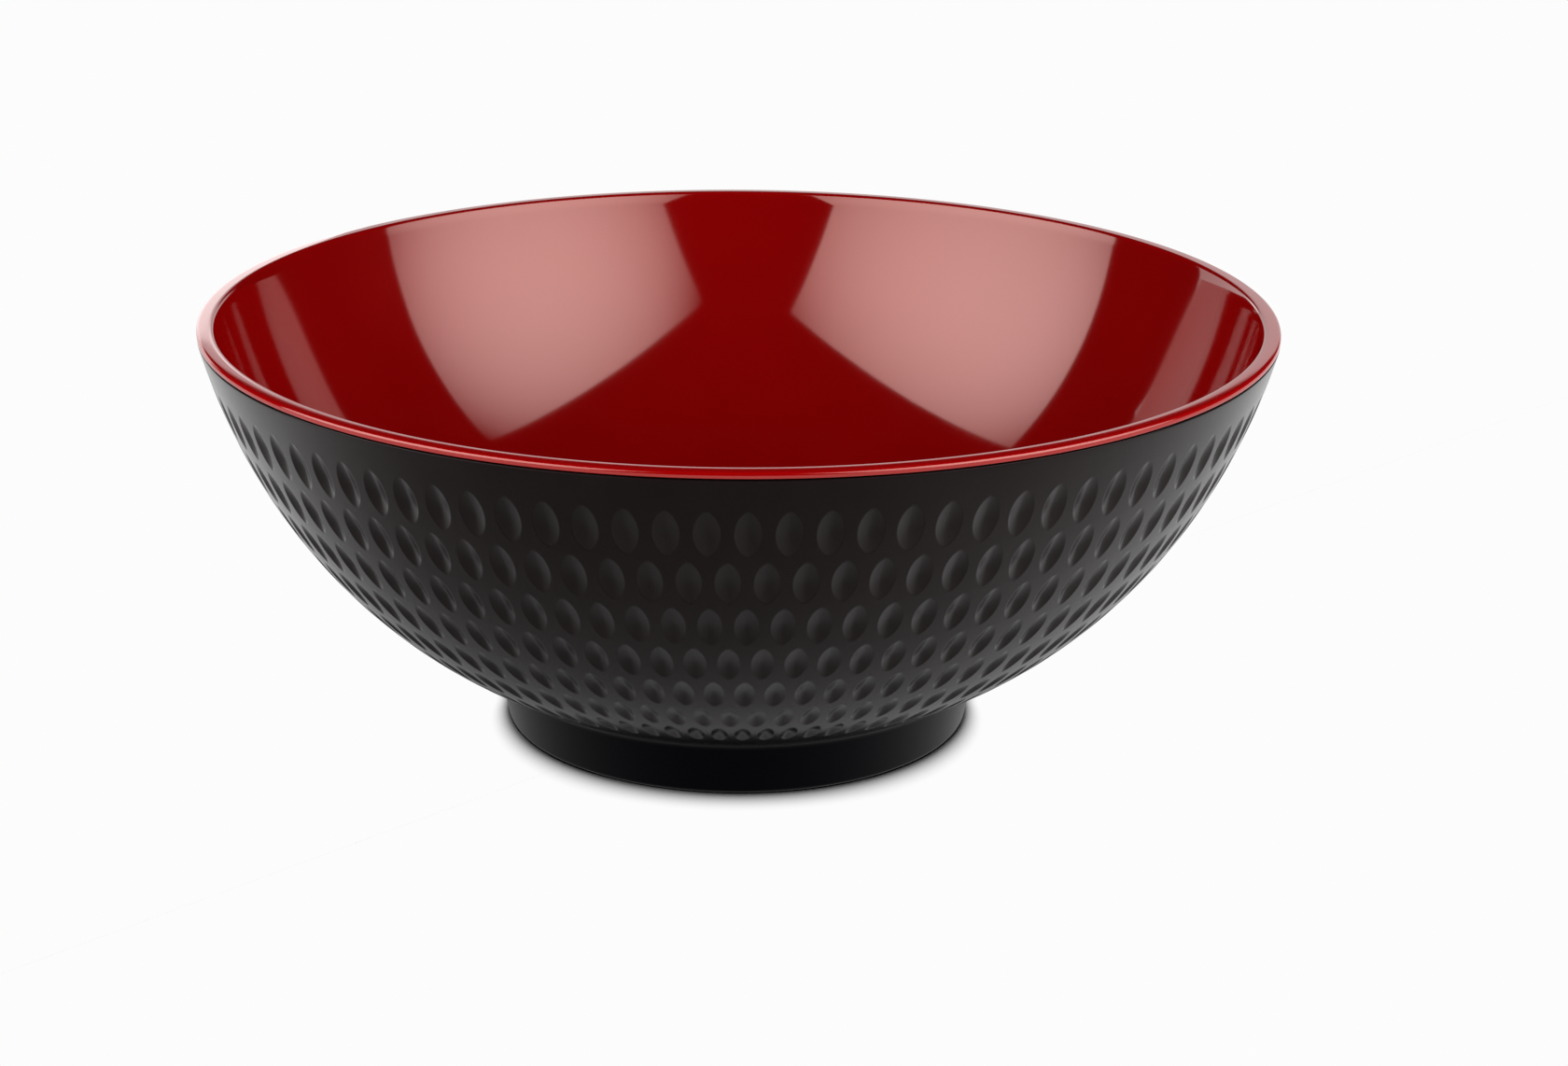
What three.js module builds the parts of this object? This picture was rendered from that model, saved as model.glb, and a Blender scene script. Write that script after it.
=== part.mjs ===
// Two-tone melamine serving bowl: a black outer shell with oval dimples and a foot ring, and a red
// liner whose lip covers the shell's top edge. Millimetres, +Z up, origin under the middle of the foot.
import * as THREE from 'three';

// Overall size
const RIM_DIAMETER = 240;
const BOWL_HEIGHT = 95;

// Walls: the two layers and the thin line between them
const SHELL_WALL = 2.1;
const LINER_WALL = 1.6;
const BOND_LINE = 0.3;

// Outer curve of the body, from the top of the foot to the rim: angles from level, lengths of its handles
const BODY_LOW_ANGLE = 23.2;
const BODY_LOW_PULL = 18.4;
const BODY_RIM_ANGLE = 75.4;
const BODY_RIM_PULL = 52.5;

// Foot ring
const FOOT_HEIGHT = 12.4;
const FOOT_TOP_DIAMETER = 110.8;
const FOOT_LAND_DIAMETER = 105.6;
const FOOT_WALL = 4;
const FOOT_EDGE_ROUND = 1;
const FOOT_FILLET = 1.4;

// Underside inside the foot ring: its height in the middle, and the lengths of its curve's handles
const BASE_CLEARANCE = 5;
const BASE_MIDDLE_PULL = 24;
const BASE_FOOT_PULL = 16;

// Rim: the liner's lip over the shell's edge
const LIP_HEIGHT = 1.35;
const LIP_OUTER_ROUND = 0.8;
const LIP_INNER_ROUND = 0.5;
const SHELL_EDGE_ROUND = 0.4;

// Dimples: pointed ovals in staggered rows, measured in the top row and along the body's curve
const DIMPLE_WIDTH = 5.6;
const DIMPLE_HEIGHT = 11.3;
const DIMPLE_DEPTH = 0.95;
const DIMPLE_SIDE_LAND = 2.4;
const DIMPLE_ROW_LAND = 1.35;
const DIMPLE_TOP_BAND = 7.1;
const DIMPLE_LOW_BAND = 9;
const DIMPLE_TURN = 1;

// A dimple's side corners: how far they stand from its middle, as shares of its half height and half width
const SIDE_CORNER_HEIGHT = 0.42;
const SIDE_CORNER_WIDTH = 0.9;

// Finishes
const BLACK_MELAMINE = { color: '#1d1a1a', roughness: 0.55, metalness: 0 };
const RED_MELAMINE = { color: '#720203', roughness: 0.12, metalness: 0 };

// Largest share of an edge that its round may take
const ROUND_SHARE = 0.9;

// Fineness of the faceted solids
const LINER_SIDES = 64;
const LINER_STEPS = 8;
const WALL_STEPS = 5;
const BASE_STEPS = 3;
const ROUND_STEPS = 2;
const PLACE_TOLERANCE = 1e-9;
const PAST_RIM = 1.5;

const rimRadius = RIM_DIAMETER / 2;
const seamHeight = BOWL_HEIGHT - LIP_HEIGHT;
const shellTop = seamHeight - BOND_LINE;
const linerOffset = SHELL_WALL + BOND_LINE;
const insideOffset = linerOffset + LINER_WALL;
const footTop = new THREE.Vector2(FOOT_TOP_DIAMETER / 2, FOOT_HEIGHT);
const footLand = FOOT_LAND_DIAMETER / 2;
const footInside = footLand - FOOT_WALL;
const footRound = Math.min(FOOT_EDGE_ROUND, (ROUND_SHARE * FOOT_WALL) / 2);
const lipOuterRound = Math.min(LIP_OUTER_ROUND, ROUND_SHARE * LIP_HEIGHT);
const lipInnerRound = Math.min(LIP_INNER_ROUND, ROUND_SHARE * LINER_WALL);
const shellRound = Math.min(SHELL_EDGE_ROUND, ROUND_SHARE * SHELL_WALL);

// A point at a length and an angle from level away from another point
function away(from, degrees, length) {
  const angle = THREE.MathUtils.degToRad(degrees);
  return new THREE.Vector2(from.x + length * Math.cos(angle), from.y + length * Math.sin(angle));
}

// The form of the whole bowl: the underside from the axis to the foot, then the body up to the rim
const rimEnd = new THREE.Vector2(rimRadius, shellTop);
const baseCurve = new THREE.CubicBezierCurve(
  new THREE.Vector2(0, BASE_CLEARANCE),
  new THREE.Vector2(BASE_MIDDLE_PULL, BASE_CLEARANCE),
  away(footTop, BODY_LOW_ANGLE, -BASE_FOOT_PULL),
  footTop,
);
const bodyCurve = new THREE.CubicBezierCurve(
  footTop,
  away(footTop, BODY_LOW_ANGLE, BODY_LOW_PULL),
  away(rimEnd, BODY_RIM_ANGLE, -BODY_RIM_PULL),
  rimEnd,
);
const bodyLength = bodyCurve.getLength();

// Direction along a cubic curve, also a little past its end
function direction(curve, t) {
  const rest = 1 - t;
  const first = curve.v1.clone().sub(curve.v0).multiplyScalar(rest * rest);
  const second = curve.v2.clone().sub(curve.v1).multiplyScalar(2 * rest * t);
  const third = curve.v3.clone().sub(curve.v2).multiplyScalar(t * t);
  return first.add(second).add(third).normalize();
}

// A point of the form moved into the bowl by a wall thickness
function offset(curve, t, distance) {
  const along = direction(curve, t);
  const point = curve.getPoint(t);
  return new THREE.Vector2(point.x - along.y * distance, point.y + along.x * distance);
}

// The place on a curve where a measure that grows along it reaches a value
function placeWhere(measure, value, end) {
  let low = 0;
  let high = end;
  while (high - low > PLACE_TOLERANCE) {
    const middle = (low + high) / 2;
    if (measure(middle) < value) low = middle;
    else high = middle;
  }
  return high;
}

// A point of the outer body at a length down its curve from the shell's top edge
function bodyPlace(fromTop) {
  return bodyCurve.getUtoTmapping(1 - fromTop / bodyLength);
}

function bodyPoint(fromTop) {
  return bodyCurve.getPoint(bodyPlace(fromTop));
}

// One face of a wall from the axis to a height at the rim
function wallFace(distance, height, steps) {
  const points = [];
  for (let i = 0; i < BASE_STEPS; i++) points.push(offset(baseCurve, i / BASE_STEPS, distance));
  points[0].x = 0;
  const end = placeWhere((t) => offset(bodyCurve, t, distance).y, height, PAST_RIM);
  for (let i = 0; i <= steps; i++) points.push(offset(bodyCurve, (end * i) / steps, distance));
  return points;
}

// Dimple pattern: as many copies as fit round the top row and down the body
const rowPitch = DIMPLE_HEIGHT + DIMPLE_ROW_LAND;
const patternRoom = bodyLength - DIMPLE_TOP_BAND - DIMPLE_LOW_BAND + DIMPLE_ROW_LAND;
const rowCount = Math.floor(patternRoom / rowPitch);
const topRowRadius = bodyPoint(DIMPLE_TOP_BAND + DIMPLE_HEIGHT / 2).x;
const columnPitch = DIMPLE_WIDTH + DIMPLE_SIDE_LAND;
const columnCount = 2 * Math.round((Math.PI * topRowRadius) / columnPitch);
const columnAngle = (2 * Math.PI) / columnCount;
const sideAngle = (SIDE_CORNER_WIDTH * columnAngle * DIMPLE_WIDTH) / columnPitch / 2;
const frontAngle = THREE.MathUtils.degToRad(DIMPLE_TURN) - Math.PI / 2;

// Collects the corners and triangles of one closed skin
class Skin {
  constructor() {
    this.corners = [];
    this.triangles = [];
  }

  corner(point, angle) {
    this.corners.push(new THREE.Vector3(point.x * Math.cos(angle), point.x * Math.sin(angle), point.y));
    return this.corners.length - 1;
  }

  // A loop of corners round the axis, or the one corner where a profile meets the axis
  ring(point, count) {
    const corners = point.x > 0 ? count : 1;
    const loop = [];
    for (let i = 0; i < corners; i++) loop.push(this.corner(point, frontAngle + (2 * Math.PI * i) / count));
    return loop;
  }

  gap(a, b) {
    return this.corners[a].distanceTo(this.corners[b]);
  }

  // Fills the band between two loops, always across the shorter diagonal
  band(lower, upper) {
    const nearest = (best, corner, i) => (
      this.gap(lower[0], corner) < this.gap(lower[0], upper[best]) ? i : best
    );
    const start = upper.reduce(nearest, 0);
    const above = (i) => upper[(start + i) % upper.length];
    const below = (i) => lower[i % lower.length];
    const lowerSteps = lower.length > 1 ? lower.length : 0;
    const upperSteps = upper.length > 1 ? upper.length : 0;
    let l = 0;
    let u = 0;
    while (l < lowerSteps || u < upperSteps) {
      const lowerIsNearer = this.gap(below(l + 1), above(u)) <= this.gap(below(l), above(u + 1));
      if (u === upperSteps || (l < lowerSteps && lowerIsNearer)) {
        this.triangles.push(below(l), below(l + 1), above(u));
        l++;
      } else {
        this.triangles.push(below(l), above(u + 1), above(u));
        u++;
      }
    }
  }

  // Fills the bands through a list of loops and gives back the last loop
  stack(loops) {
    for (let i = 1; i < loops.length; i++) this.band(loops[i - 1], loops[i]);
    return loops[loops.length - 1];
  }

  geometry() {
    const geometry = new THREE.BufferGeometry().setFromPoints(this.corners);
    geometry.setIndex(this.triangles);
    geometry.computeVertexNormals();
    return geometry;
  }
}

// One row of dimples with the land between them, and the loops along its lower and upper edges
function dimpleRow(skin, row) {
  const middle = DIMPLE_TOP_BAND + DIMPLE_HEIGHT / 2 + row * rowPitch;
  const onBody = (share) => bodyPoint(middle - (share * DIMPLE_HEIGHT) / 2);
  const highTip = onBody(1);
  const highSide = onBody(SIDE_CORNER_HEIGHT);
  const lowSide = onBody(-SIDE_CORNER_HEIGHT);
  const lowTip = onBody(-1);
  const sunk = offset(bodyCurve, bodyPlace(middle), DIMPLE_DEPTH);
  const stagger = row % 2 === 0 ? 0 : columnAngle / 2;
  const lower = [];
  const upper = [];
  for (let column = 0; column < columnCount; column++) {
    const angle = frontAngle + stagger + column * columnAngle;
    const lowEdge = [
      skin.corner(lowSide, angle - sideAngle),
      skin.corner(lowTip, angle),
      skin.corner(lowSide, angle + sideAngle),
    ];
    const highEdge = [
      skin.corner(highSide, angle - sideAngle),
      skin.corner(highTip, angle),
      skin.corner(highSide, angle + sideAngle),
    ];
    const outline = [...lowEdge, ...highEdge.toReversed()];
    const bottom = skin.corner(sunk, angle);
    outline.forEach((corner, i) => {
      skin.triangles.push(corner, outline[(i + 1) % outline.length], bottom);
    });
    lower.push(lowEdge);
    upper.push(highEdge);
  }
  for (let column = 0; column < columnCount; column++) {
    const next = (column + 1) % columnCount;
    const lowRight = lower[column].at(-1);
    const highRight = upper[column].at(-1);
    skin.triangles.push(lowRight, lower[next][0], upper[next][0]);
    skin.triangles.push(lowRight, upper[next][0], highRight);
  }
  return { lower: lower.flat(), upper: upper.flat() };
}

// Underside and foot ring, from the axis to where the body leaves the foot
function footProfile() {
  const baseRadius = (t) => baseCurve.getPoint(t).x;
  const corner = baseCurve.getPoint(placeWhere(baseRadius, footInside, 1));
  const baseEnd = placeWhere(baseRadius, footInside - FOOT_FILLET, 1);
  const landEdge = new THREE.Vector2(footLand, 0);
  const upWall = footTop.clone().sub(landEdge).normalize();
  const wallLow = landEdge.clone().addScaledVector(upWall, footRound);
  const wallHigh = footTop.clone().addScaledVector(upWall, -FOOT_FILLET);
  const bodyStart = bodyPoint(bodyLength - FOOT_FILLET);
  const path = new THREE.Path();
  path.moveTo(0, BASE_CLEARANCE);
  for (let i = 1; i <= BASE_STEPS; i++) {
    const point = baseCurve.getPoint((baseEnd * i) / BASE_STEPS);
    path.lineTo(point.x, point.y);
  }
  path.quadraticCurveTo(corner.x, corner.y, footInside, corner.y - FOOT_FILLET);
  path.lineTo(footInside, footRound);
  path.quadraticCurveTo(footInside, 0, footInside + footRound, 0);
  path.lineTo(footLand - footRound, 0);
  path.quadraticCurveTo(footLand, 0, wallLow.x, wallLow.y);
  path.lineTo(wallHigh.x, wallHigh.y);
  path.quadraticCurveTo(footTop.x, footTop.y, bodyStart.x, bodyStart.y);
  return path.getPoints(ROUND_STEPS);
}

// Black outer shell with its dimples and foot ring, from the axis under the base round to the axis inside
function outerShell() {
  const skin = new Skin();
  const coarse = columnCount / 2;
  const foot = footProfile().map((point) => skin.ring(point, coarse));
  let edge = skin.stack(foot);
  for (let row = rowCount - 1; row >= 0; row--) {
    const { lower, upper } = dimpleRow(skin, row);
    skin.band(edge, lower);
    edge = upper;
  }
  const inside = wallFace(SHELL_WALL, shellTop, WALL_STEPS).reverse();
  const rim = [bodyPoint(shellRound), new THREE.Vector2(rimRadius - shellRound, shellTop)];
  const wall = [...rim, ...inside.slice(0, WALL_STEPS)].map((point) => skin.ring(point, columnCount));
  const floor = inside.slice(WALL_STEPS).map((point) => skin.ring(point, coarse));
  skin.stack([edge, ...wall, ...floor]);
  return skin.geometry();
}

// Red liner, turned about the axis, with its lip over the shell's edge
function innerLiner() {
  const outside = wallFace(linerOffset, seamHeight, WALL_STEPS);
  const inside = wallFace(insideOffset, BOWL_HEIGHT - lipInnerRound, LINER_STEPS).reverse();
  const lip = new THREE.Path();
  lip.moveTo(rimRadius, seamHeight);
  lip.lineTo(rimRadius, BOWL_HEIGHT - lipOuterRound);
  lip.quadraticCurveTo(rimRadius, BOWL_HEIGHT, rimRadius - lipOuterRound, BOWL_HEIGHT);
  lip.lineTo(inside[0].x + lipInnerRound, BOWL_HEIGHT);
  lip.quadraticCurveTo(inside[0].x, BOWL_HEIGHT, inside[0].x, inside[0].y);
  const profile = [...outside, ...lip.getPoints(ROUND_STEPS), ...inside.slice(1)];
  return new THREE.LatheGeometry(profile, LINER_SIDES).rotateX(Math.PI / 2);
}

function piece(name, geometry, finish) {
  const mesh = new THREE.Mesh(geometry, new THREE.MeshStandardMaterial(finish));
  mesh.name = name;
  return mesh;
}

const bowl = new THREE.Group();
bowl.name = 'melamine_serving_bowl';
bowl.add(piece('outer_shell', outerShell(), BLACK_MELAMINE));
bowl.add(piece('inner_liner', innerLiner(), RED_MELAMINE));

export default bowl;
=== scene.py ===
import math

import bpy
import numpy as np
from mathutils import Matrix, Vector


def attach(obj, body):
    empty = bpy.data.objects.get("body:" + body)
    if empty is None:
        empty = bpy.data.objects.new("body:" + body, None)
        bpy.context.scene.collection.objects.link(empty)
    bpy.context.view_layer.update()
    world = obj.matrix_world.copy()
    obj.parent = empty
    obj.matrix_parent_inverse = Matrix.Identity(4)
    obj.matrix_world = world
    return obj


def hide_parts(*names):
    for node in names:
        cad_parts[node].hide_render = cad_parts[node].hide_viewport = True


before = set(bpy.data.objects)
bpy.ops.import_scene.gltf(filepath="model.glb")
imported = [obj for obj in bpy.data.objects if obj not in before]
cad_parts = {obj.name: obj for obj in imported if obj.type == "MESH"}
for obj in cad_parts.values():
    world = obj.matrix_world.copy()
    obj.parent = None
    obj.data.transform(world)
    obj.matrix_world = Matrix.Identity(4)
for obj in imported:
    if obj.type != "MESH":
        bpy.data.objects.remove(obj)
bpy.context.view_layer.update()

# Sizes of the bowl in millimetres and degrees, the same as in the solids
RIM_DIAMETER = 240
BOWL_HEIGHT = 95
SHELL_WALL = 2.1
LINER_WALL = 1.6
BOND_LINE = 0.3
BODY_LOW_ANGLE = 23.2
BODY_LOW_PULL = 18.4
BODY_RIM_ANGLE = 75.4
BODY_RIM_PULL = 52.5
FOOT_HEIGHT = 12.4
FOOT_TOP_DIAMETER = 110.8
FOOT_LAND_DIAMETER = 105.6
FOOT_WALL = 4
FOOT_EDGE_ROUND = 1
FOOT_FILLET = 1.4
BASE_CLEARANCE = 5
BASE_MIDDLE_PULL = 24
BASE_FOOT_PULL = 16
LIP_HEIGHT = 1.35
LIP_OUTER_ROUND = 0.8
LIP_INNER_ROUND = 0.5
SHELL_EDGE_ROUND = 0.4
DIMPLE_WIDTH = 5.6
DIMPLE_HEIGHT = 11.3
DIMPLE_DEPTH = 0.95
DIMPLE_SIDE_LAND = 2.4
DIMPLE_ROW_LAND = 1.35
DIMPLE_TOP_BAND = 7.1
DIMPLE_LOW_BAND = 9
DIMPLE_TURN = 1

# The visible lip in millimetres: its crest from the inside edge, the radii of its crown, and its edges
LIP_CREST = 1.4
LIP_INNER_CROWN = 7
LIP_OUTER_CROWN = 30
LIP_LOWER_ROUND = 0.2
LIP_INNER_HANDLE = 0.3

# The visible dimple: its deepest point below its middle in millimetres, the powers of its point and dish
DIMPLE_SAG = 0.6
DIMPLE_POINT = 0.62
DIMPLE_BEND = 1.45

# Fineness of the meshes, with the rings of a dimple as shares of its outline
CELL_ACROSS = 6
CELL_UP = 10
DIMPLE_RINGS = (1.06, 1.0, 0.93, 0.8, 0.62, 0.4, 0.2)
LINER_SIDES = 480
BASE_STEPS = 20
WALL_STEPS = 68
SHELL_WALL_STEPS = 16
BAND_STEPS = 5
ROUND_STEPS = 6
CROWN_STEPS = 16
LENGTH_STEPS = 4000

# The places on the body's curve, 1 being its end, between which a height near the rim is looked for
RIM_SEARCH = (0.5, 1.5)

MM = 0.001

rim_radius = RIM_DIAMETER / 2
seam_height = BOWL_HEIGHT - LIP_HEIGHT
shell_top = seam_height - BOND_LINE
liner_offset = SHELL_WALL + BOND_LINE
inside_offset = liner_offset + LINER_WALL
foot_top = np.array([FOOT_TOP_DIAMETER / 2, FOOT_HEIGHT])
foot_land = FOOT_LAND_DIAMETER / 2
foot_inside = foot_land - FOOT_WALL
rim_end = np.array([rim_radius, shell_top])


# Curves of the form

def away(start, degrees, length):
    """The point at a length and an angle from level away from another point."""
    angle = math.radians(degrees)
    return start + length * np.array([math.cos(angle), math.sin(angle)])


BASE_CURVE = np.array([
    (0, BASE_CLEARANCE),
    (BASE_MIDDLE_PULL, BASE_CLEARANCE),
    away(foot_top, BODY_LOW_ANGLE, -BASE_FOOT_PULL),
    foot_top,
])
BODY_CURVE = np.array([
    foot_top,
    away(foot_top, BODY_LOW_ANGLE, BODY_LOW_PULL),
    away(rim_end, BODY_RIM_ANGLE, -BODY_RIM_PULL),
    rim_end,
])


def on_curve(curve, t):
    """Points of a cubic curve at places t from 0 to 1."""
    t = np.asarray(t, float)[..., None]
    rest = 1 - t
    shares = (rest**3, 3 * rest**2 * t, 3 * rest * t**2, t**3)
    return sum(share * point for share, point in zip(shares, curve))


def inward(curve, t):
    """Unit vectors square to a cubic curve, towards the inside of the bowl."""
    t = np.asarray(t, float)[..., None]
    rest = 1 - t
    shares = (rest**2, 2 * rest * t, t**2)
    along = sum(share * step for share, step in zip(shares, np.diff(curve, axis=0)))
    along = along / np.linalg.norm(along, axis=-1, keepdims=True)
    return np.stack([-along[..., 1], along[..., 0]], axis=-1)


def offset(curve, t, distance):
    """Points of a curve moved into the bowl by a distance."""
    return on_curve(curve, t) + distance * inward(curve, t)


length_places = np.linspace(0, 1, LENGTH_STEPS)
length_steps = np.linalg.norm(np.diff(on_curve(BODY_CURVE, length_places), axis=0), axis=1)
lengths = np.concatenate([[0], np.cumsum(length_steps)])
body_length = lengths[-1]


def body_place(from_top):
    """The place on the body's curve at a length down from the shell's top edge."""
    return np.interp(body_length - np.asarray(from_top, float), lengths, length_places)


def place_at_height(distance, height):
    """The place on the body's curve, or just past its end, where a face inside it reaches a height."""
    places = np.linspace(*RIM_SEARCH, LENGTH_STEPS)
    return np.interp(height, offset(BODY_CURVE, places, distance)[:, 1], places)


def base_place(radius):
    """The place on the base's curve at a radius."""
    return np.interp(radius, on_curve(BASE_CURVE, length_places)[:, 0], length_places)


def rounded(start, corner, end):
    """A round from one point to another, with its corner as the handle."""
    t = np.linspace(0, 1, ROUND_STEPS + 1)[:, None]
    return (1 - t) ** 2 * start + 2 * t * (1 - t) * corner + t**2 * end


def wall_face(distance, height, steps):
    """One face of a wall, from the axis to a height at the rim."""
    base = offset(BASE_CURVE, np.linspace(0, 1, BASE_STEPS, endpoint=False), distance)
    base[0, 0] = 0
    end = place_at_height(distance, height)
    return np.concatenate([base, offset(BODY_CURVE, np.linspace(0, end, steps + 1), distance)])


def turned(radius, height, angle):
    """Points at radii, heights and angles about the axis."""
    return np.stack(np.broadcast_arrays(radius * np.cos(angle), radius * np.sin(angle), height), axis=-1)


# Meshes

def in_scene(name, data):
    """A new object of the scene, made from a mesh, a lamp or a camera."""
    made = bpy.data.objects.new(name, data)
    bpy.context.scene.collection.objects.link(made)
    return made


class Skin:
    """Collects the corners and faces of one closed mesh, in millimetres."""

    def __init__(self, corners_round, first_angle):
        self.angles = first_angle + np.arange(corners_round) * (2 * math.pi / corners_round)
        self.corners = []
        self.marks = []
        self.faces = []
        self.count = 0

    def add(self, points, in_dimple=False):
        """Adds an array of points and gives back their numbers in the same layout."""
        flat = np.reshape(points, (-1, 3))
        numbers = self.count + np.arange(len(flat)).reshape(np.shape(points)[:-1])
        self.corners.append(flat)
        self.marks.append(np.full(len(flat), float(in_dimple)))
        self.count += len(flat)
        return numbers

    def ring(self, point):
        """A loop round the axis through a point of the profile, or one corner on the axis."""
        radius, height = point
        angles = self.angles if radius > 0 else self.angles[:1]
        return self.add(turned(radius, height, angles))

    def band(self, lower, upper):
        """Faces between two loops, or two lists of loops, seen from outside with the first below."""
        if lower.shape[-1] == 1:
            around = [np.broadcast_to(lower, upper.shape), np.roll(upper, -1, axis=-1), upper]
        elif upper.shape[-1] == 1:
            around = [lower, np.roll(lower, -1, axis=-1), np.broadcast_to(upper, lower.shape)]
        else:
            around = [lower, np.roll(lower, -1, axis=-1), np.roll(upper, -1, axis=-1), upper]
        self.faces.extend(np.stack(around, axis=-1).reshape(-1, len(around)).tolist())

    def profile(self, points, start=None):
        """Turns a run of profile points about the axis, from a loop that is there or a new one."""
        loop = self.ring(points[0]) if start is None else start
        for point in points[1:]:
            following = self.ring(point)
            self.band(loop, following)
            loop = following
        return loop

    def piece(self, name, material):
        """The finished Blender object, in metres."""
        mesh = bpy.data.meshes.new(name)
        mesh.from_pydata((np.concatenate(self.corners) * MM).tolist(), [], self.faces)
        mesh.polygons.foreach_set("use_smooth", [True] * len(mesh.polygons))
        mesh.materials.append(material)
        mark = mesh.attributes.new("dimple", "FLOAT", "POINT")
        mark.data.foreach_set("value", np.concatenate(self.marks))
        mesh.update()
        return in_scene(name, mesh)


# Dimple pattern
row_pitch = DIMPLE_HEIGHT + DIMPLE_ROW_LAND
row_count = int((body_length - DIMPLE_TOP_BAND - DIMPLE_LOW_BAND + DIMPLE_ROW_LAND) / row_pitch)
pattern_top = DIMPLE_TOP_BAND - DIMPLE_ROW_LAND / 2
pattern_low = pattern_top + row_count * row_pitch
top_row_radius = on_curve(BODY_CURVE, body_place(DIMPLE_TOP_BAND + DIMPLE_HEIGHT / 2))[0]
column_pitch = DIMPLE_WIDTH + DIMPLE_SIDE_LAND
column_count = 2 * round(math.pi * top_row_radius / column_pitch)
column_angle = 2 * math.pi / column_count
front_angle = math.radians(DIMPLE_TURN) - math.pi / 2
ring_corners = column_count * CELL_ACROSS


def body_points(angle, from_top, depth):
    """Points of the body at angles and lengths down from its top edge, sunk by a depth."""
    spot = offset(BODY_CURVE, body_place(from_top), depth)
    return turned(spot[..., 0], spot[..., 1], angle)


def dimple_outline():
    """A dimple's outline in its cell, counter-clockwise from the low left corner, in half pitches."""
    corners = 2 * (CELL_ACROSS + CELL_UP)
    first = math.pi + math.pi * CELL_UP / corners
    turn = first + np.arange(corners) * (2 * math.pi / corners)
    across = np.sign(np.cos(turn)) * np.abs(np.cos(turn)) ** (2 * DIMPLE_POINT)
    return across * DIMPLE_WIDTH / column_pitch, np.sin(turn) * DIMPLE_HEIGHT / row_pitch


def row_cells(row):
    """The first corner and the middle angle of each cell in a row. Every second row is half a cell on."""
    columns = np.arange(column_count)
    moved = row % 2
    first = (columns * CELL_ACROSS - CELL_ACROSS // 2 * (1 - moved)) % ring_corners
    return first, front_angle + (columns + moved / 2) * column_angle


def cell_borders(skin, row, middle, lower, upper):
    """A loop of corners round each cell between two rings, counter-clockwise from the low left corner."""
    first, centre = row_cells(row)
    end = (first + CELL_ACROSS) % ring_corners
    edge = np.arange(CELL_ACROSS)
    shares = np.arange(1, CELL_UP) / CELL_UP
    from_top = np.broadcast_to(middle + (0.5 - shares) * row_pitch, (column_count, CELL_UP - 1))
    left = skin.add(body_points((centre - column_angle / 2)[:, None], from_top, 0))
    right = np.roll(left, -1, axis=0)
    return np.concatenate([
        lower[(first[:, None] + edge) % ring_corners],
        lower[end][:, None],
        right,
        upper[(end[:, None] - edge) % ring_corners],
        upper[first][:, None],
        left[:, ::-1],
    ], axis=1)


def dimple_row(skin, row, lower):
    """One row of dimples above a ring, with the land round them. Gives back the ring above it."""
    middle = pattern_top + (row + 0.5) * row_pitch
    upper = skin.add(body_points(skin.angles, np.full(ring_corners, middle - row_pitch / 2), 0))
    loops = cell_borders(skin, row, middle, lower, upper)
    across, up = dimple_outline()
    centre = row_cells(row)[1][:, None]
    for share in DIMPLE_RINGS:
        depth = DIMPLE_DEPTH * max(0, 1 - share**DIMPLE_BEND)
        angle = centre + share * across * column_angle / 2
        ring_middle = middle + max(0, 1 - share) * DIMPLE_SAG
        from_top = np.broadcast_to(ring_middle - share * up * row_pitch / 2, angle.shape)
        rings = skin.add(body_points(angle, from_top, depth), in_dimple=share < 1)
        skin.band(loops, rings)
        loops = rings
    lowest = np.full(centre.shape, middle + DIMPLE_SAG)
    skin.band(loops, skin.add(body_points(centre, lowest, DIMPLE_DEPTH), in_dimple=True))
    return upper


# The two pieces

def foot_profile():
    """Underside and foot ring, from the axis to the lowest row of dimples."""
    corner = on_curve(BASE_CURVE, base_place(foot_inside))
    base_end = base_place(foot_inside - FOOT_FILLET)
    land_edge = np.array([foot_land, 0])
    up_wall = (foot_top - land_edge) / np.linalg.norm(foot_top - land_edge)
    body_start = on_curve(BODY_CURVE, body_place(body_length - FOOT_FILLET))
    inner_low = np.array([foot_inside, 0])
    low_band = np.linspace(body_length - FOOT_FILLET, pattern_low, BAND_STEPS)
    return np.concatenate([
        on_curve(BASE_CURVE, np.linspace(0, base_end, BASE_STEPS, endpoint=False)),
        rounded(on_curve(BASE_CURVE, base_end), corner, corner - (0, FOOT_FILLET)),
        rounded(inner_low + (0, FOOT_EDGE_ROUND), inner_low, inner_low + (FOOT_EDGE_ROUND, 0)),
        rounded(land_edge - (FOOT_EDGE_ROUND, 0), land_edge, land_edge + FOOT_EDGE_ROUND * up_wall),
        rounded(foot_top - FOOT_FILLET * up_wall, foot_top, body_start),
        on_curve(BODY_CURVE, body_place(low_band))[1:],
    ])


def shell_rim_profile():
    """The plain band above the dimples, the shell's top edge and its inside face down to the axis."""
    edge_start = on_curve(BODY_CURVE, body_place(SHELL_EDGE_ROUND))
    top_band = np.linspace(pattern_top, SHELL_EDGE_ROUND, BAND_STEPS)
    return np.concatenate([
        on_curve(BODY_CURVE, body_place(top_band))[:-1],
        rounded(edge_start, rim_end, rim_end - (SHELL_EDGE_ROUND, 0)),
        wall_face(SHELL_WALL, shell_top, SHELL_WALL_STEPS)[::-1],
    ])


def outer_shell(material):
    """The black shell with its foot, from the middle of the underside round to the middle of the inside."""
    skin = Skin(ring_corners, front_angle)
    loop = skin.profile(foot_profile())
    for row in reversed(range(row_count)):
        loop = dimple_row(skin, row, loop)
    skin.profile(shell_rim_profile(), start=loop)
    return skin.piece("bowl_shell", material)


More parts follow.
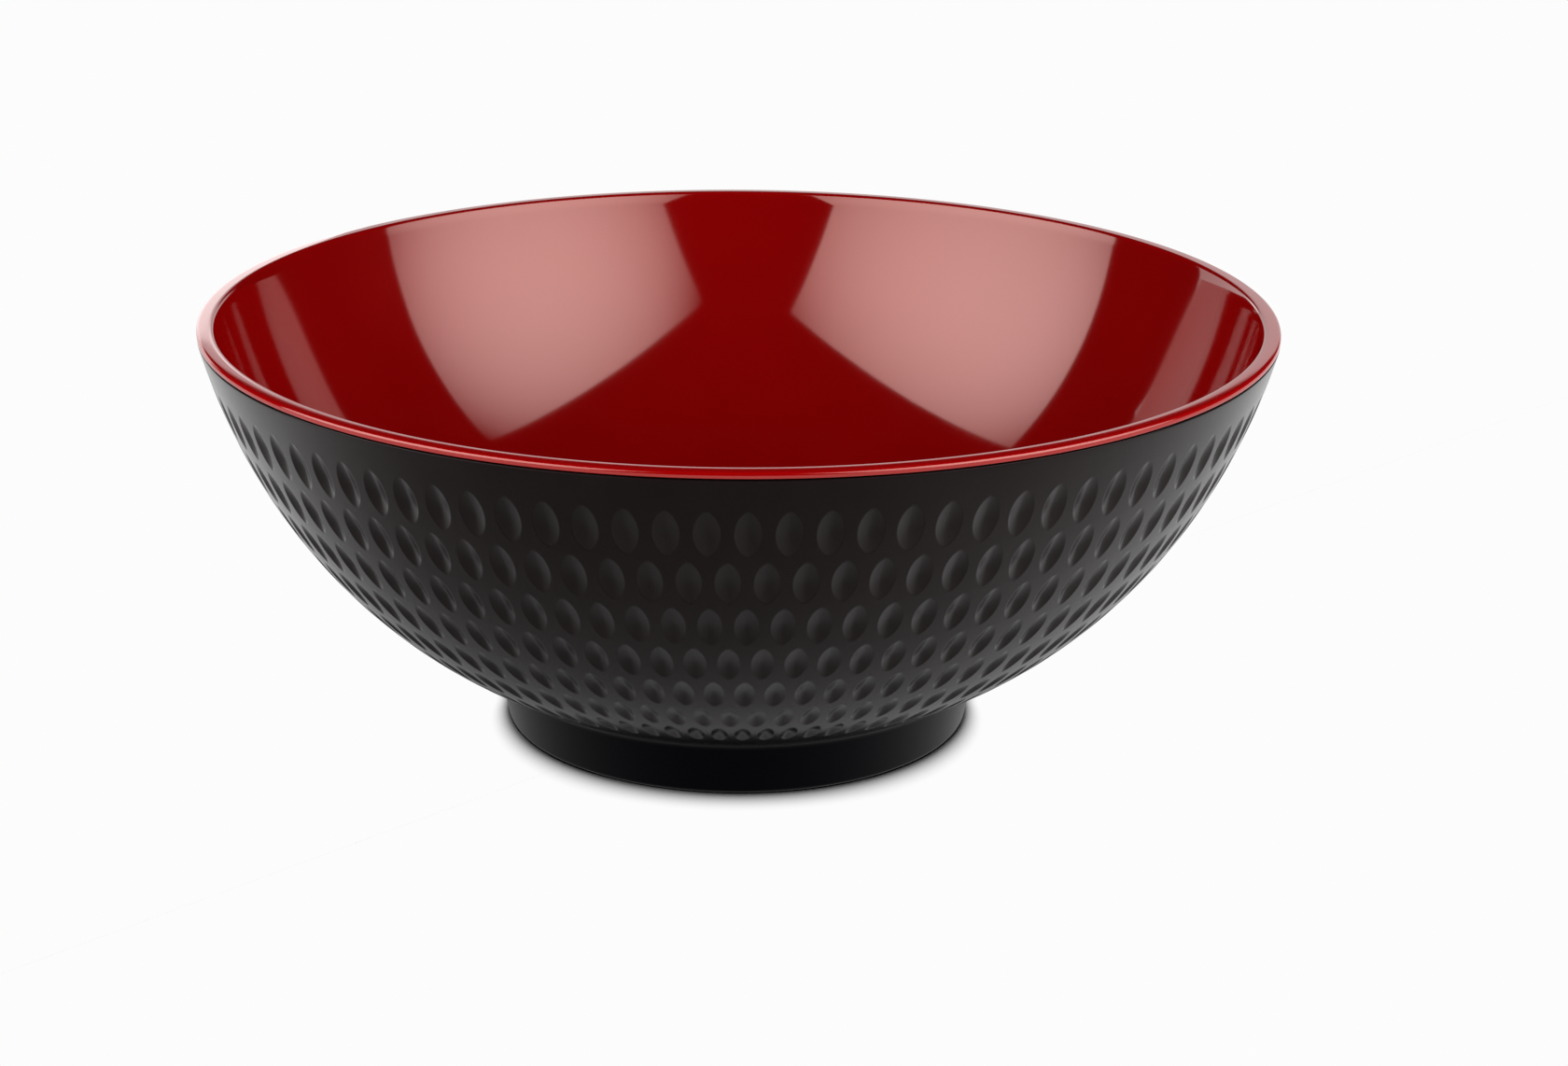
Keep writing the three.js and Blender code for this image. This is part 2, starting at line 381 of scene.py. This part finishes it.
def lip_profile(inner_end):
    """The liner's lip, from the seam over the slightly crowned top to the inside face."""
    outer_low = np.array([rim_radius, seam_height])
    radius = np.linspace(rim_radius - LIP_OUTER_ROUND, inner_end[0] + LIP_INNER_ROUND, CROWN_STEPS + 1)
    from_crest = radius - inner_end[0] - LIP_CREST
    bend = np.where(from_crest > 0, LIP_OUTER_CROWN, LIP_INNER_CROWN)
    crown = np.stack([radius, BOWL_HEIGHT - from_crest**2 / bend / 2], axis=-1)
    outer_high = np.array([rim_radius, crown[0, 1]])
    inner_slope = -from_crest[-1] / LIP_INNER_CROWN
    inner_high = crown[-1] - LIP_INNER_HANDLE * np.array([1, inner_slope])
    return np.concatenate([
        rounded(outer_low - (LIP_LOWER_ROUND, 0), outer_low, outer_low + (0, LIP_LOWER_ROUND)),
        rounded(outer_high - (0, LIP_OUTER_ROUND), outer_high, crown[0])[:-1],
        crown,
        rounded(crown[-1], inner_high, inner_end)[1:-1],
    ])


def inner_liner(material):
    """The red liner, from the middle of its underside over the lip to the middle of the inside."""
    skin = Skin(LINER_SIDES, front_angle)
    outside = wall_face(liner_offset, seam_height, SHELL_WALL_STEPS)
    inside = wall_face(inside_offset, BOWL_HEIGHT - LIP_INNER_ROUND, WALL_STEPS)[::-1]
    skin.profile(np.concatenate([outside, lip_profile(inside[0]), inside]))
    return skin.piece("bowl_liner", material)


# Materials: colours, gloss and grain. Scales are in spots to the metre, heights in metres
RED_WALL = (0.158, 0.0003, 0.0005, 1)
RED_WALL_LIGHT = (0.172, 0.0004, 0.0006, 1)
# Painted light: a lighter red for the lip's top, standing in for the light it catches
RED_LIP_PAINTED_LIGHT = (0.23, 0.0005, 0.0008, 1)
RED_SHINE = (1, 0.66, 0.6, 1)
RED_IOR = 1.75
RED_ROUGHNESS = (0.05, 0.065)
RED_CLOUD_SCALE = 30
RIPPLE_SCALE = 45
RIPPLE_DETAIL = 1
RIPPLE_STRENGTH = 0.08
RIPPLE_HEIGHT = 0.0002
BLACK_BODY = (0.005, 0.0033, 0.0033, 1)
BLACK_BODY_LIGHT = (0.0064, 0.0043, 0.0043, 1)
# Painted shade: a darker, cooler black for the foot under the bowl
FOOT_PAINTED_SHADE = (0.0006, 0.0006, 0.0009, 1)
LAND_SHINE = (0.15, 0.11, 0.11, 1)
# Painted light: a brighter reflection tint inside the dimples than on the land
DIMPLE_PAINTED_LIGHT_SHINE = (0.34, 0.3, 0.3, 1)
# Painted shade: a dim, cool reflection tint for the foot under the bowl
FOOT_PAINTED_SHADE_SHINE = (0.06, 0.06, 0.11, 1)
BLACK_IOR = 1.46
BODY_ROUGHNESS = (0.16, 0.24)
FOOT_ROUGHNESS = 0.25
BLACK_CLOUD_SCALE = 60
GRAIN_SCALE = 2600
GRAIN_DETAIL = 3
BODY_GRAIN = 0.1
FOOT_GRAIN = 0.05
GRAIN_HEIGHT = 0.00004
CLOUD_DETAIL = 2
NOISE_RANGE = (0.3, 0.7)


class Nodes:
    """Short forms for making a node tree."""

    def __init__(self, tree):
        self.tree = tree
        self.tree.nodes.clear()

    def add(self, kind, settings=None, **inputs):
        """A node with its settings and inputs. An input has _ for each space, or is _ and its number."""
        node = self.tree.nodes.new(kind)
        for name, value in (settings or {}).items():
            setattr(node, name, value)
        for name, value in inputs.items():
            number = name[1:]
            key = int(number) if number.isdigit() else name.replace("_", " ")
            self.put(node.inputs[key], value)
        return node

    def put(self, socket, value):
        """Links an input to an output socket, or gives it a plain value."""
        if isinstance(value, bpy.types.NodeSocket):
            self.tree.links.new(value, socket)
        else:
            socket.default_value = value

    def math(self, operation, first, second, clamp=False):
        """The result of one operation on two numbers."""
        settings = {"operation": operation, "use_clamp": clamp}
        return self.add("ShaderNodeMath", settings, _0=first, _1=second).outputs[0]

    def noise(self, coordinates, scale, detail):
        """A cloudy value between 0 and 1."""
        node = self.add("ShaderNodeTexNoise", Vector=coordinates, Scale=scale, Detail=detail)
        return node.outputs["Fac"]

    def fit(self, value, low, high, to_low, to_high):
        """A value carried from one range to another, and held at its ends."""
        node = self.add("ShaderNodeMapRange", {"clamp": True}, Value=value, From_Min=low, From_Max=high)
        self.put(node.inputs["To Min"], to_low)
        self.put(node.inputs["To Max"], to_high)
        return node.outputs["Result"]

    def blend(self, share, first, second):
        """A colour between two others. The Mix node has them at inputs 6 and 7 and output 2."""
        node = self.add("ShaderNodeMix", {"data_type": "RGBA"}, Factor=share, _6=first, _7=second)
        return node.outputs[2]


def new_material(name):
    """An empty material and the short forms for its nodes."""
    material = bpy.data.materials.new(name)
    material.use_nodes = True
    return material, Nodes(material.node_tree)


def red_glaze():
    """Glossy red melamine: an even pigment, with painted light making the lip's red lighter, under a glaze
    with a faint ripple.
    """
    material, nodes = new_material("red_melamine")
    place = nodes.add("ShaderNodeTexCoord").outputs["Object"]
    cloud = nodes.noise(place, RED_CLOUD_SCALE, CLOUD_DETAIL)
    ripple = nodes.noise(place, RIPPLE_SCALE, RIPPLE_DETAIL)
    flat = nodes.add("ShaderNodeVectorMath", {"operation": "MULTIPLY"}, _0=place, _1=(1, 1, 0))
    across = nodes.add("ShaderNodeVectorMath", {"operation": "LENGTH"}, _0=flat.outputs[0])
    lip_start = rim_radius - inside_offset
    # Painted light: this share lightens the red towards the lip's crest
    lip = nodes.fit(across.outputs["Value"], lip_start * MM, (lip_start + LIP_CREST) * MM, 0, 1)
    wall = nodes.blend(nodes.fit(cloud, *NOISE_RANGE, 0, 1), RED_WALL, RED_WALL_LIGHT)
    bump = nodes.add("ShaderNodeBump", Strength=RIPPLE_STRENGTH, Distance=RIPPLE_HEIGHT, Height=ripple)
    shader = nodes.add(
        "ShaderNodeBsdfPrincipled",
        Base_Color=nodes.blend(lip, wall, RED_LIP_PAINTED_LIGHT),
        Roughness=nodes.fit(cloud, *NOISE_RANGE, *RED_ROUGHNESS),
        IOR=RED_IOR,
        Specular_Tint=RED_SHINE,
        Normal=bump.outputs[0],
    )
    nodes.add("ShaderNodeOutputMaterial", Surface=shader.outputs[0])
    return material


def black_matte():
    """Matte black melamine with a fine grain and a smoother foot, with painted light making the dimples'
    reflections lighter and painted shade making the foot darker and cooler.
    """
    material, nodes = new_material("black_melamine")
    place = nodes.add("ShaderNodeTexCoord").outputs["Object"]
    height = nodes.add("ShaderNodeSeparateXYZ", Vector=place).outputs["Z"]
    body = nodes.fit(height, (FOOT_HEIGHT - FOOT_FILLET) * MM, (FOOT_HEIGHT + FOOT_FILLET) * MM, 0, 1)
    dimple = nodes.add("ShaderNodeAttribute", {"attribute_name": "dimple"}).outputs["Fac"]
    cloud = nodes.noise(place, BLACK_CLOUD_SCALE, CLOUD_DETAIL)
    grain = nodes.noise(place, GRAIN_SCALE, GRAIN_DETAIL)
    pigment = nodes.blend(nodes.fit(cloud, *NOISE_RANGE, 0, 1), BLACK_BODY, BLACK_BODY_LIGHT)
    matte = nodes.fit(grain, *NOISE_RANGE, *BODY_ROUGHNESS)
    depth = nodes.fit(body, 0, 1, FOOT_GRAIN, BODY_GRAIN)
    bump = nodes.add("ShaderNodeBump", Strength=depth, Distance=GRAIN_HEIGHT, Height=grain)
    shader = nodes.add(
        "ShaderNodeBsdfPrincipled",
        # Painted shade: the foot gets the darker, cooler black
        Base_Color=nodes.blend(body, FOOT_PAINTED_SHADE, pigment),
        Roughness=nodes.fit(body, 0, 1, FOOT_ROUGHNESS, matte),
        IOR=BLACK_IOR,
        # Painted light in the dimples' reflections, painted shade in the foot's
        Specular_Tint=nodes.blend(body, FOOT_PAINTED_SHADE_SHINE, nodes.blend(dimple, LAND_SHINE, DIMPLE_PAINTED_LIGHT_SHINE)),
        Normal=bump.outputs[0],
    )
    nodes.add("ShaderNodeOutputMaterial", Surface=shader.outputs[0])
    return material


# Studio: floor, backdrop and the bowl's shadows on the floor, in metres and degrees
WHITE = (1, 1, 1, 1)
PAPER_WHITE = 0.974
PAPER_GREY = (0.75, 0.75, 0.75, 1)
FLOOR_SIZE = 60
SHADOW_SAMPLES = 16
CONTACT_SHADOW_REACH = 0.0035
CONTACT_SHADOW_FRONT = 0.0095
CONTACT_SHADOW_DEPTH = 1.75
CONTACT_SHADOW_BEND = 1.4
BOWL_SHADOW_REACH = 0.15
BOWL_SHADOW_DEPTH = 0.74
FRONT_SHADE = 0.5
FRONT_SHADE_MIDDLE = (-0.08, -0.13, 0)
FRONT_SHADE_NEAR = 0.07
FRONT_SHADE_FAR = 0.19
STUDIO_DIM = 0.006
BACKDROP_TOP = 17.2
BACKDROP_FADE = 1
BACKDROP_SIDE = (0.87, 0.92)


def seen_directly(nodes, glossy):
    """1 for what the camera sees, through glass too and, if asked, in a mirror. 0 for other light."""
    path = nodes.add("ShaderNodeLightPath").outputs
    seen = nodes.math("MAXIMUM", path["Is Camera Ray"], path["Is Transmission Ray"])
    return nodes.math("MAXIMUM", seen, path["Is Glossy Ray"]) if glossy else seen


def floor_light(nodes):
    """The floor's light, 1 far off: the contact shadow to the camera, wider shades in the bowl's mirror."""
    direct = nodes.add("ShaderNodeLightPath").outputs["Is Camera Ray"]
    place = nodes.add("ShaderNodeNewGeometry").outputs["Position"]
    forward = nodes.add("ShaderNodeSeparateXYZ", Vector=place).outputs["Y"]
    contact = nodes.fit(forward, -foot_land * MM, 0, CONTACT_SHADOW_FRONT, CONTACT_SHADOW_REACH)
    reach = nodes.fit(direct, 0, 1, BOWL_SHADOW_REACH, contact)
    shade = nodes.add("ShaderNodeAmbientOcclusion", {"samples": SHADOW_SAMPLES}, Distance=reach)
    closed_share = nodes.math("SUBTRACT", 1, shade.outputs["AO"])
    deep = nodes.math("MULTIPLY", closed_share, CONTACT_SHADOW_DEPTH)
    near = nodes.math("POWER", deep, CONTACT_SHADOW_BEND)
    wide = nodes.math("MULTIPLY", closed_share, BOWL_SHADOW_DEPTH)
    lit = nodes.math("SUBTRACT", 1, nodes.fit(direct, 0, 1, wide, near), clamp=True)
    apart = nodes.add("ShaderNodeVectorMath", {"operation": "DISTANCE"}, _0=place, _1=FRONT_SHADE_MIDDLE)
    front = nodes.fit(apart.outputs["Value"], FRONT_SHADE_NEAR, FRONT_SHADE_FAR, FRONT_SHADE, 1)
    return nodes.math("MULTIPLY", lit, nodes.fit(direct, 0, 1, front, 1))


def white_paper():
    """White paper for the camera and in mirrors, and plain grey paper for all other light."""
    material, nodes = new_material("white_paper")
    level = nodes.math("MULTIPLY", floor_light(nodes), PAPER_WHITE)
    glow = nodes.add("ShaderNodeEmission", Strength=level)
    paper = nodes.add("ShaderNodeBsdfDiffuse", Color=PAPER_GREY)
    seen = seen_directly(nodes, glossy=True)
    mix = nodes.add("ShaderNodeMixShader", _0=seen, _1=paper.outputs[0], _2=glow.outputs[0])
    nodes.add("ShaderNodeOutputMaterial", Surface=mix.outputs[0])
    return material


def paper_floor():
    """A wide square of white paper under the bowl."""
    half = FLOOR_SIZE / 2
    corners = [(-half, -half, 0), (half, -half, 0), (half, half, 0), (-half, half, 0)]
    mesh = bpy.data.meshes.new("floor")
    mesh.from_pydata(corners, [], [(0, 1, 2, 3)])
    mesh.materials.append(white_paper())
    floor = in_scene("floor", mesh)


def dim_studio():
    """A dark studio round the lamps, with the same white paper where the camera looks past the floor."""
    world = bpy.data.worlds.new("studio")
    bpy.context.scene.world = world
    world.use_nodes = True
    nodes = Nodes(world.node_tree)
    looking = nodes.add("ShaderNodeTexCoord").outputs["Generated"]
    direction = nodes.add("ShaderNodeSeparateXYZ", Vector=looking)
    low = math.sin(math.radians(BACKDROP_TOP - BACKDROP_FADE / 2))
    high = math.sin(math.radians(BACKDROP_TOP + BACKDROP_FADE / 2))
    below_top = nodes.fit(direction.outputs["Z"], low, high, 1, 0)
    behind = nodes.fit(direction.outputs["Y"], *BACKDROP_SIDE, 0, 1)
    glossy = nodes.add("ShaderNodeLightPath").outputs["Is Glossy Ray"]
    mirrored = nodes.math("MULTIPLY", glossy, nodes.math("MULTIPLY", below_top, behind))
    backdrop = nodes.math("MAXIMUM", seen_directly(nodes, glossy=False), mirrored)
    level = nodes.fit(backdrop, 0, 1, STUDIO_DIM, PAPER_WHITE)
    glow = nodes.add("ShaderNodeBackground", Color=WHITE, Strength=level)
    nodes.add("ShaderNodeOutputWorld", Surface=glow.outputs[0])


def fading_glow(lamp, fall_off):
    """Dims a lamp away from its middle, by the shares lost at its sides and at its top and bottom."""
    lamp.use_nodes = True
    nodes = Nodes(lamp.node_tree)
    on_box = nodes.add("ShaderNodeNewGeometry").outputs["Parametric"]
    spot = nodes.add("ShaderNodeSeparateXYZ", Vector=on_box)
    losses = []
    for axis, loss in zip("XY", fall_off):
        from_middle = nodes.fit(spot.outputs[axis], 0, 1, -1, 1)
        square = nodes.math("MULTIPLY", from_middle, from_middle)
        losses.append(nodes.math("MULTIPLY", square, loss))
    level = nodes.math("SUBTRACT", 1, nodes.math("ADD", *losses), clamp=True)
    glow = nodes.add("ShaderNodeEmission", Strength=level)
    nodes.add("ShaderNodeOutputLight", Surface=glow.outputs[0])


def soft_box(name, azimuth, distance, centre_up, size, radiance, tilt=0, sideways=0, fall_off=(0, 0)):
    """A soft box facing the bowl's axis. Azimuth 0 is the camera's side, 90 is +X."""
    turn = math.radians(azimuth)
    lean = math.radians(tilt)
    outward = Vector((math.sin(turn), -math.cos(turn), 0))
    across = Vector((-outward.y, outward.x, 0))
    back = outward * math.cos(lean) + Vector((0, 0, math.sin(lean)))
    up = back.cross(across)
    width, height = size
    lamp = bpy.data.lights.new(name, "AREA")
    lamp.shape = "RECTANGLE"
    lamp.size = width
    lamp.size_y = height
    lamp.energy = radiance * math.pi * width * height
    fading_glow(lamp, fall_off)
    made = in_scene(name, lamp)
    centre = outward * distance + across * sideways + up * centre_up
    axes = Matrix((across, up, back)).transposed()
    made.matrix_world = Matrix.Translation(centre) @ axes.to_4x4()
    made.visible_camera = False
    return made


def studio_lamps():
    """Two large soft boxes beside the camera, a smaller one behind and a low fill that no gloss shows."""
    soft_box(
        "box_right", azimuth=61.4, distance=1, centre_up=0.56, size=(1.26, 0.8), radiance=5.3,
        tilt=25.8, sideways=-0.075, fall_off=(0.62, 0.38),
    )
    soft_box(
        "box_left", azimuth=-61.4, distance=1, centre_up=0.56, size=(1.34, 0.8), radiance=5.4,
        tilt=24, sideways=-0.054, fall_off=(0.45, 0.38),
    )
    soft_box("back_left", azimuth=-150.5, distance=1.25, centre_up=0.24, size=(0.8, 0.42), radiance=1.4)
    fill = soft_box("fill_right", azimuth=95, distance=1, centre_up=0.33, size=(0.6, 0.3), radiance=6)
    fill.visible_glossy = False


# The photograph's frame in pixels, the middle of the bowl in it, and the camera in degrees and metres
IMAGE_WIDTH = 1680
IMAGE_HEIGHT = 1142
FOCAL_PIXELS = 3445.2
BOWL_MIDDLE_X = 790.5
BOWL_MIDDLE_Y = 545.9
CAMERA_ELEVATION = 18.505
CAMERA_DISTANCE = 0.735
CAMERA_ROLL = 0.3
CAMERA_NEAR = 0.01

# The camera's sensor, in millimetres
SENSOR_WIDTH = 36


def studio_camera():
    """The camera of the photograph, looking at the middle of the bowl."""
    data = bpy.data.cameras.new("camera")
    data.sensor_width = SENSOR_WIDTH
    data.lens = SENSOR_WIDTH * FOCAL_PIXELS / IMAGE_WIDTH
    data.shift_x = (IMAGE_WIDTH / 2 - BOWL_MIDDLE_X) / IMAGE_WIDTH
    data.shift_y = (BOWL_MIDDLE_Y - IMAGE_HEIGHT / 2) / IMAGE_WIDTH
    data.clip_start = CAMERA_NEAR
    tilt = math.radians(90 - CAMERA_ELEVATION)
    turn = Matrix.Rotation(tilt, 4, "X") @ Matrix.Rotation(math.radians(CAMERA_ROLL), 4, "Z")
    middle = Vector((0, 0, BOWL_HEIGHT * MM / 2))
    camera = in_scene("camera", data)
    camera.matrix_world = Matrix.Translation(middle) @ turn @ Matrix.Translation((0, 0, CAMERA_DISTANCE))
    bpy.context.scene.camera = camera


def main():
    """Builds the bowl and its studio."""
    shell = outer_shell(black_matte())
    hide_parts("outer_shell")
    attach(shell, "root")

    liner = inner_liner(red_glaze())
    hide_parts("inner_liner")
    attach(liner, "root")

    paper_floor()
    dim_studio()
    studio_lamps()
    studio_camera()
    bpy.context.scene.view_settings.view_transform = "Standard"


main()
